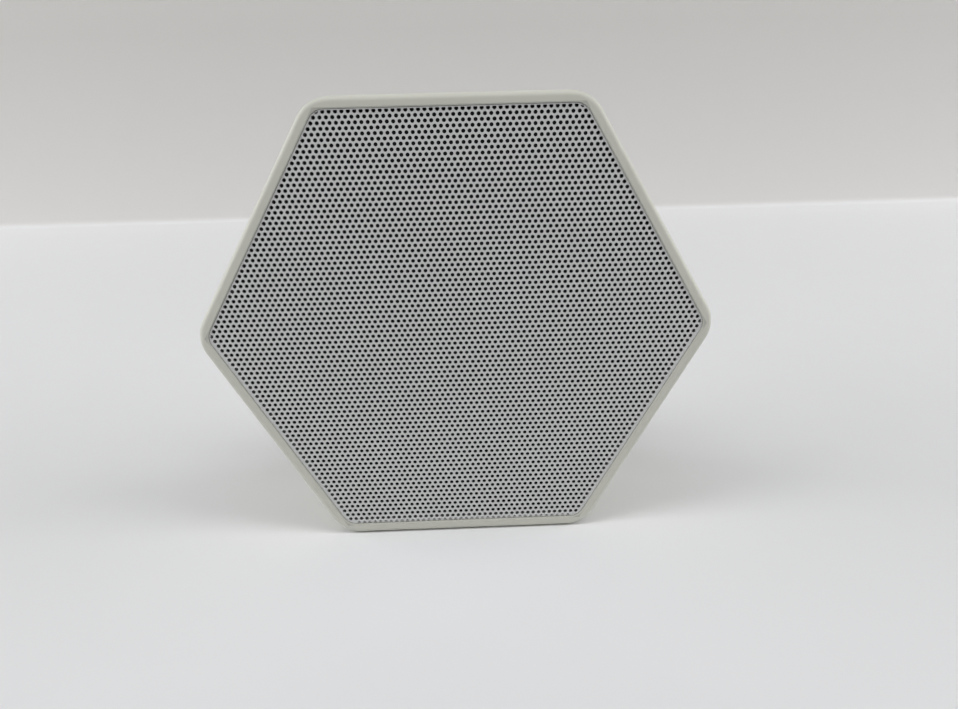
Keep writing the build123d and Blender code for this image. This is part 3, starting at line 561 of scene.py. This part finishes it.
def screwTree():
    tree, given, result = startTree("coverScrews", coverScrew)
    # the head: a flat cylinder whose top falls away towards its edge, as a crown
    blank = put(tree, "GeometryNodeMeshCylinder", {
        "Vertices": given["Head Sides"], "Side Segments": given["Side Rings"],
        "Fill Segments": given["Head Rings"], "Radius": given["Head Radius"],
        "Depth": given["Rise"]}, fill_type="TRIANGLE_FAN")
    spot = splitOf(tree, tree.nodes.new("GeometryNodeInputPosition").outputs[0])
    across = put(tree, "ShaderNodeCombineXYZ", {"X": spot["X"], "Y": spot["Y"]})
    reach = sums(tree, "LENGTH", across, kind="ShaderNodeVectorMath")
    share = sums(tree, "DIVIDE", reach, given["Head Radius"])
    drop = sums(tree, "MULTIPLY", given["Crown"], sums(tree, "POWER", share, coverScrew["crownPower"]))
    topStart = sums(tree, "MULTIPLY", given["Rise"], coverScrew["topShare"])
    top = sums(tree, "GREATER_THAN", spot["Z"], topStart)
    crowned = put(tree, "GeometryNodeSetPosition", {
        "Geometry": blank, "Selection": top,
        "Offset": put(tree, "ShaderNodeCombineXYZ", {"Z": sums(tree, "MULTIPLY", drop, -1.0)})})
    # the cross recess, cut by two bars
    barSize = put(tree, "ShaderNodeCombineXYZ", {
        "X": given["Slot Length"], "Y": given["Slot Width"],
        "Z": sums(tree, "MULTIPLY", given["Slot Depth"], 2.0)})
    bar = put(tree, "GeometryNodeMeshCube", {"Size": barSize})
    lift = put(tree, "ShaderNodeCombineXYZ", {"Z": sums(tree, "MULTIPLY", given["Rise"], 0.5)})
    bars = [put(tree, "GeometryNodeTransform", {
        "Geometry": bar, "Rotation": (0, 0, math.radians(turn)), "Translation": lift}) for turn in (0, 90)]
    head = put(tree, "GeometryNodeMeshBoolean", {"Mesh 1": crowned, "Mesh 2": bars},
               operation="DIFFERENCE", solver="MANIFOLD")
    raised = put(tree, "GeometryNodeTransform", {"Geometry": head, "Translation": lift})
    # the shank: a line whose radius swells once for each turn of the thread
    tip = put(tree, "ShaderNodeCombineXYZ", {"Z": sums(tree, "MULTIPLY", given["Shank Length"], -1.0)})
    line = put(tree, "GeometryNodeCurvePrimitiveLine", {"End": tip})
    pointCount = sums(tree, "ADD", sums(tree, "MULTIPLY", given["Turns"], 2), 1)
    points = put(tree, "GeometryNodeResampleCurve", {"Curve": line, "Count": pointCount}, mode="COUNT")
    index = tree.nodes.new("GeometryNodeInputIndex").outputs[0]
    swell = sums(tree, "MULTIPLY", sums(tree, "MODULO", index, 2.0), given["Thread"])
    ring = put(tree, "GeometryNodeCurvePrimitiveCircle", {
        "Resolution": given["Shank Sides"], "Radius": 1.0}, mode="RADIUS")
    shank = put(tree, "GeometryNodeCurveToMesh", {
        "Curve": points, "Profile Curve": ring, "Fill Caps": True,
        "Scale": sums(tree, "ADD", given["Shank Radius"], swell)})
    screw = put(tree, "GeometryNodeJoinGeometry", {"Geometry": [raised, shank]})
    # one at each corner, each stopped at its own angle
    corners = put(tree, "GeometryNodeMeshCircle", {"Vertices": given["Count"], "Radius": given["Circle"]})
    angle = put(tree, "FunctionNodeRandomValue", {
        "Min": 0.0, "Max": math.radians(90), "Seed": given["Seed"]}, data_type="FLOAT")
    placed = put(tree, "GeometryNodeInstanceOnPoints", {
        "Points": corners, "Instance": screw, "Rotation": put(tree, "ShaderNodeCombineXYZ", {"Z": angle})})
    endTree(tree, placed, -90, given, result)
    return tree


def makeScrews():
    screws = runTree("coverScrewSet", screwTree(), coverScrew, coverScrew["seat"], finishes["screw_steel"])
    clearSlivers(screws, bmesh.new())
    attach(screws, "speaker_body")
    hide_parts("cover_screws")


makeScrews()

# the two flexing rings of the driver, in millimetres from its axis and behind the rim
flexRings = dict(
    steps=72, arcSteps=14, sharpAngle=50,
    surround=dict(inner=25.7, outer=35.2, front=7.5, thick=0.5, middle=30.5, roll=2.6, bend=(28.5, 32.0)),
    spider=dict(inner=12.75, outer=24.5, rim=21.2, front=18.6, thick=0.4, swing=0.6, waves=4, waveSteps=8,
                bend=(13.2, 21.0)))


def surroundOutline():   # half roll between two flat lips
    ring, steps = flexRings["surround"], flexRings["arcSteps"]
    inner, outer, middle, front = ring["inner"], ring["outer"], ring["middle"], ring["front"]
    back = front + ring["thick"]
    hollow = ring["roll"] - ring["thick"]

    def arc(radius, first, last):
        angles = [math.radians(first + (last - first) * i / steps) for i in range(steps + 1)]
        return [(middle + radius * math.cos(a), front - radius * math.sin(a)) for a in angles]

    return ([(outer, front)] + arc(ring["roll"], 0, 180)
            + [(inner, front), (inner, back), (middle - hollow, back)]
            + arc(hollow, 180, 0) + [(middle + hollow, back), (outer, back)])


def spiderOutline():   # corrugated cloth with a flat rim
    ring = flexRings["spider"]
    count = ring["waves"] * ring["waveSteps"]
    line = []
    for i in range(count + 1):
        wave = ring["swing"] * math.sin(math.pi * ring["waves"] * i / count)
        line.append((ring["inner"] + (ring["rim"] - ring["inner"]) * i / count, ring["front"] - wave))
    line.append((ring["outer"], ring["front"]))
    return line + [(radius, depth + ring["thick"]) for radius, depth in line[::-1]]


def makeFlexRing(name, node, outline):
    hub = Vector((0.0, rimFace, axisHeight))
    steps, count = flexRings["steps"], len(outline)
    faces = [(i, (i + 1) % count, count + (i + 1) % count, count + i) for i in range(count)]
    sectors = []
    for k in range(steps):   # each narrow sector is the outline swept across one step of the turn
        columns = []
        for edge in (k, k + 1):
            a = 2 * math.pi * (edge % steps) / steps
            columns += [hub + Vector((radius * math.cos(a), depth, radius * math.sin(a))) * mm
                        for radius, depth in outline]
        mesh = bpy.data.meshes.new(name)
        mesh.from_pydata(columns, [], faces)
        sector = addObject(name, mesh)
        a = 2 * math.pi * (k + 0.5) / steps
        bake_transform(sector)
        sectors.append(sector)
    ring = sectors[0]
    chosen = dict(selected_objects=sectors, selected_editable_objects=sectors)
    with bpy.context.temp_override(active_object=ring, object=ring, **chosen):
        bpy.ops.object.join()
    bm = bmesh.new()
    bm.from_mesh(ring.data)
    bmesh.ops.remove_doubles(bm, verts=bm.verts[:], dist=weld)
    bmesh.ops.recalc_face_normals(bm, faces=bm.faces[:])
    bm.to_mesh(ring.data)
    bm.free()
    ring.data.shade_smooth()
    ring.data.set_sharp_from_angle(angle=math.radians(flexRings["sharpAngle"]))
    ring.data.materials.append(finishes[slotOf[node]])
    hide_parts(node)


makeFlexRing("surroundRoll", "surround", surroundOutline())
makeFlexRing("spiderDisc", "spider", spiderOutline())
print("surround and spider made")

# signs printed in the dish of each button, drawn in millimetres about its middle
buttonSigns = dict(
    lift=0.03, thick=0.09, dishRadius=4.2, dishDepth=0.25, line=0.55, capSteps=8, arm=1.6,
    crossAt=1.25, crossArm=0.62,
    cone=((-2.0, -0.55), (-1.2, -0.55), (-0.2, -1.35), (-0.2, 1.35), (-1.2, 0.55), (-2.0, 0.55)),
    ink=((0.045, 0.045, 0.047), (0.075, 0.075, 0.077), 0.12, 0.004, (0.50, 0.66)))


def strokeOutline(start, end, roundStart=True):   # straight stroke of the pen, rounded at its ends
    half = buttonSigns["line"] / 2
    heading = math.atan2(end[1] - start[1], end[0] - start[0])
    steps = buttonSigns["capSteps"]

    def cap(middle, facing):
        angles = [facing + math.pi * (i / steps - 0.5) for i in range(steps + 1)]
        return [(middle[0] + half * math.cos(a), middle[1] + half * math.sin(a)) for a in angles]

    back = cap(start, heading + math.pi)
    return cap(end, heading) + (back if roundStart else [back[0], back[-1]])


def crossOutlines(middle, arm, turn):   # one whole stroke and two short ones that end at its sides
    def out(length, angle):
        return (middle[0] + length * math.cos(angle), middle[1] + length * math.sin(angle))

    side = buttonSigns["line"] / 2
    outlines = [strokeOutline(out(arm, turn + math.pi), out(arm, turn))]
    for angle in (turn + math.pi / 2, turn - math.pi / 2):
        outlines.append(strokeOutline(out(side, angle), out(arm, angle), roundStart=False))
    return outlines


def makeSign(name, body, button, outlines):
    low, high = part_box(button)
    dish, top = buttonSigns["dishDepth"], buttonSigns["lift"]
    levels = (top - buttonSigns["thick"], top)
    bend = (buttonSigns["dishRadius"] ** 2 + dish ** 2) / (2 * dish)

    def onDish(x, y, lift):   # the print follows the hollow of the button
        hollow = dish - (bend - math.sqrt(bend ** 2 - x ** 2 - y ** 2))
        return ((low.x + high.x) / 2 + x * mm, (low.y + high.y) / 2 + y * mm, high.z + (lift - hollow) * mm)

    bm = bmesh.new()
    for outline in outlines:
        addPrism(bm, *[[onDish(x, y, level) for x, y in outline] for level in levels])
    sign = pieceFrom(bm, name, finishes["sign_ink"])
    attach(sign, body)


def makeSigns():
    finishes["sign_ink"] = plainFinish("signInk", *buttonSigns["ink"])
    arm = buttonSigns["arm"]
    struckOut = crossOutlines((buttonSigns["crossAt"], 0.0), buttonSigns["crossArm"], math.radians(45))
    makeSign("volumeDownSign", "volume_down", "volume_down_button", [strokeOutline((-arm, 0.0), (arm, 0.0))])
    makeSign("volumeUpSign", "volume_up", "volume_up_button", crossOutlines((0.0, 0.0), arm, 0.0))
    makeSign("muteSign", "mute", "mute_button", [buttonSigns["cone"]] + struckOut)
    print("button signs printed")


makeSigns()
